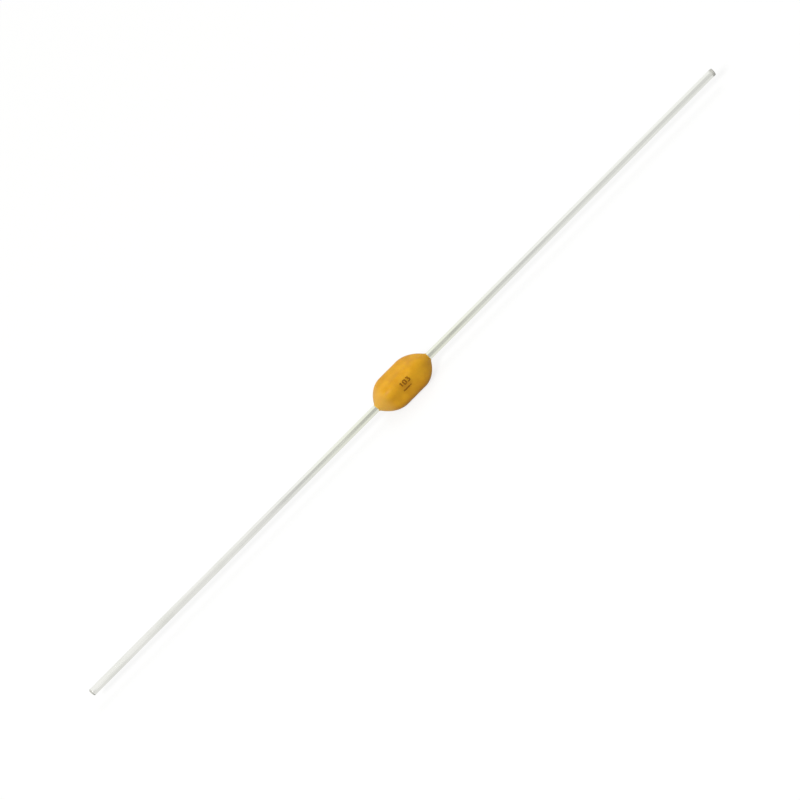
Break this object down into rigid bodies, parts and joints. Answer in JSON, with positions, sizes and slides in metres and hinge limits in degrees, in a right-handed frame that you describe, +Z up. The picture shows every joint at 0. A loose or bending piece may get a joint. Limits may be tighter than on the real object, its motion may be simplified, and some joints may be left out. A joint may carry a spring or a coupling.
{
  "type": "multilayer ceramic capacitor",
  "caption": "Axial-leaded ceramic capacitor: a small ochre epoxy bead of rounded square section with tapered ends and a long, straight tinned wire from either end.",
  "frame": {"origin": "middle of the ceramic chip, on the common axis of the two leads, which is the middle of the whole part", "axes": "+X along the right lead, +Y across the body, +Z up through the electrode stack; the part lies on the underside of its coating"},
  "size_m": [0.055, 0.002, 0.002],
  "materials": {
    "coating": "dipped epoxy, semi-gloss ochre",
    "lead": "drawn wire, bright tin plate",
    "solder": "reflowed solder, satin",
    "termination": "fired metal paste, matte",
    "dielectric": "fired barium titanate, satin",
    "electrode": "fired nickel film, matte"
  },
  "bodies": {
    "root": {"epoxy_coating": "coating", "lead_left": "lead", "lead_right": "lead", "solder_joint_left": "solder", "solder_joint_right": "solder", "end_cap_left": "termination", "end_cap_right": "termination", "ceramic_dielectric": "dielectric", "electrode_left_01": "electrode", "electrode_left_02": "electrode", "electrode_left_03": "electrode", "electrode_left_04": "electrode", "electrode_left_05": "electrode", "electrode_left_06": "electrode", "electrode_left_07": "electrode", "electrode_left_08": "electrode", "electrode_left_09": "electrode", "electrode_left_10": "electrode", "electrode_right_01": "electrode", "electrode_right_02": "electrode", "electrode_right_03": "electrode", "electrode_right_04": "electrode", "electrode_right_05": "electrode", "electrode_right_06": "electrode", "electrode_right_07": "electrode", "electrode_right_08": "electrode", "electrode_right_09": "electrode", "electrode_right_10": "electrode"}
  },
  "joints": []
}
